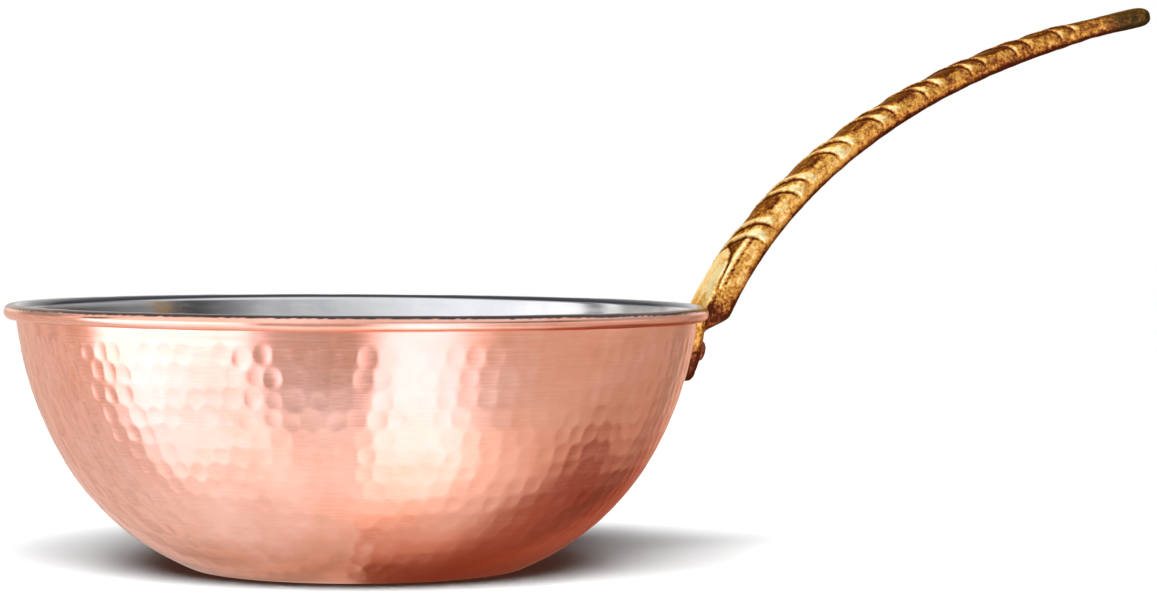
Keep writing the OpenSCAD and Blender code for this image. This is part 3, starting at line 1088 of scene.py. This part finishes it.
def high_studio(tree, az, el):
    """What the tin and the handle mirror: a room brighter to the left, with a dark gap there,
    dim at the right, and bright overhead and behind the pan."""
    wide = calc(tree, "ABSOLUTE", az)
    room = total(tree, fade(tree, az, -40.0, 28.0, 1.25, 0.62),
                 fade(tree, az, 28.0, 60.0, 0.0, -0.5), fade(tree, az, 66.0, 80.0, 0.0, 0.36))
    room = less(tree, room, fade(tree, az, -112.0, -104.0, 1.0, 0.0), 0.66)
    room = less(tree, room, band(tree, az, (-103.0, -96.0), (-92.0, -87.0)), 0.96)
    room = calc(tree, "MAXIMUM", room, fade(tree, el, 20.0, 32.0, 0.0, 0.95))
    return calc(tree, "MAXIMUM", room, fade(tree, wide, 128.0, 152.0, 0.0, 1.15))


def dim_corner(tree, az, el):
    """1 in the low right corner of the studio, which is dark and warm."""
    lowered = total(tree, el, fade(tree, az, 130.0, 165.0, 0.0, -19.0))
    return both(tree, fade(tree, az, 90.0, 118.0), fade(tree, el, -70.0, -52.0),
                fade(tree, lowered, -36.0, -22.0, 1.0, 0.0))


def diffuse_studio(tree, az, el):
    """The light on the floor: an even room and a broad soft light from the front left."""
    key = both(tree, band(tree, az, (-64.0, -42.0), (27.0, 49.0)),
               band(tree, el, (32.0, 44.0), (62.0, 74.0)))
    return total(tree, both(tree, key, KEY_STRENGTH), FILL_STRENGTH)


def studio_tint(tree, az, el, level, boxes, dim):
    """Colour of the mirrored room: cool in the soft boxes, warmer at the sides and low down."""
    upper = calc(tree, "MAXIMUM", fade(tree, el, -36.0, -16.0), fade(tree, az, 45.0, 70.0))
    sides = blend(tree, fade(tree, az, -125.0, -100.0), SIDE_TINT, FAR_LEFT_TINT)
    tint = blend(tree, upper, WHITE, sides)
    by_rim = both(tree, fade(tree, el, -12.0, -4.0), fade(tree, az, 60.0, 90.0))
    tint = blend(tree, by_rim, tint, RIM_TINT)
    warm = both(tree, fade(tree, el, -88.0, -64.0, 1.0, 0.0), fade(tree, az, -80.0, 60.0, 0.3, 1.0))
    tint = blend(tree, warm, tint, WARM_TINT)
    tint = blend(tree, fade(tree, boxes, 0.2, 1.3), tint, BOX_TINT)
    behind = both(tree, fade(tree, az, 112.0, 140.0), fade(tree, el, -22.0, -8.0, 1.0, 0.0))
    tint = blend(tree, behind, tint, WARM_TINT)
    tint = blend(tree, dim, tint, DIM_TINT)
    return blend(tree, level, tint, WHITE)


def mixed(tree, factor, first, second):
    """The first value where factor is 0, the second where it is 1."""
    return put(tree, "ShaderNodeMix", {0: factor, 2: first, 3: second}).outputs[0]


def look_angles(tree):
    """The direction of a ray that leaves the pan: azimuth and elevation in degrees."""
    look = put(tree, "ShaderNodeTexCoord", {}).outputs["Generated"]
    inputs = {0: look, "Angle": math.radians(CAMERA_SIDE)}
    look = put(tree, "ShaderNodeVectorRotate", inputs, rotation_type="Z_AXIS").outputs[0]
    x, y, z = put(tree, "ShaderNodeSeparateXYZ", {0: look}).outputs
    az = calc(tree, "DEGREES", calc(tree, "ARCTAN2", x, both(tree, y, -1.0)))
    el = calc(tree, "DEGREES", calc(tree, "ARCSINE", z))
    return az, el


def build_studio():
    """A plain white room. Only mirrored rays see its soft boxes, and the camera sees white."""
    world = bpy.data.worlds.new("studio")
    bpy.context.scene.world = world
    world.use_nodes = True
    world.cycles.sampling_method = "NONE"
    tree = world.node_tree
    tree.nodes.clear()
    az, el = look_angles(tree)
    level = fade(tree, el, 0.0, 8.0)
    boxes = soft_boxes(tree, az, el)
    shine = mixed(tree, level, low_studio(tree, az, el, boxes), high_studio(tree, az, el))
    dim = dim_corner(tree, az, el)
    shine = less(tree, shine, dim, 0.55)
    path = put(tree, "ShaderNodeLightPath", {})
    # Light that the pan throws onto the floor comes from a dim room, so that it doesn't glow
    thrown = calc(tree, "MINIMUM", path.outputs["Diffuse Depth"], 1.0)
    shine = mixed(tree, thrown, shine, THROWN_STRENGTH)
    mirrored = path.outputs["Is Glossy Ray"]
    strength = mixed(tree, mirrored, diffuse_studio(tree, az, el), shine)
    strength = mixed(tree, path.outputs["Is Camera Ray"], strength, 1.0)
    tint = studio_tint(tree, az, el, level, boxes, dim)
    tint = blend(tree, mirrored, WHITE, tint)
    ground = put(tree, "ShaderNodeBackground", {"Color": tint, "Strength": strength})
    output = tree.nodes.new("ShaderNodeOutputWorld")
    tree.links.new(ground.outputs[0], output.inputs[0])


# ---- The pan ----

def settle(piece, node):
    """Fixes a finished piece to the pan's body, in place of its CAD node."""
    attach(piece, "root")
    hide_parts(node)


def build_pan():
    """Every piece of the pan. The wire in the rim is the CAD's own."""
    settle(build_bowl(copper_material()), "bowl_shell")
    settle(build_lining(tin_material()), "tin_lining")
    brass = brass_material()
    handle = joined("cast_handle", [build_grip(brass), build_plate(brass)])
    settle(handle, "handle")
    rng = np.random.default_rng(53)
    rivet = rivet_material()
    for name in RIVETS:
        settle(build_rivet(name, rivet, rng), name)
    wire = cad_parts["rim_wire"]
    wire.data.materials.clear()
    wire.data.materials.append(wire_material())


build_pan()
build_camera()
build_floor()
build_studio()
bpy.context.scene.view_settings.view_transform = "Standard"
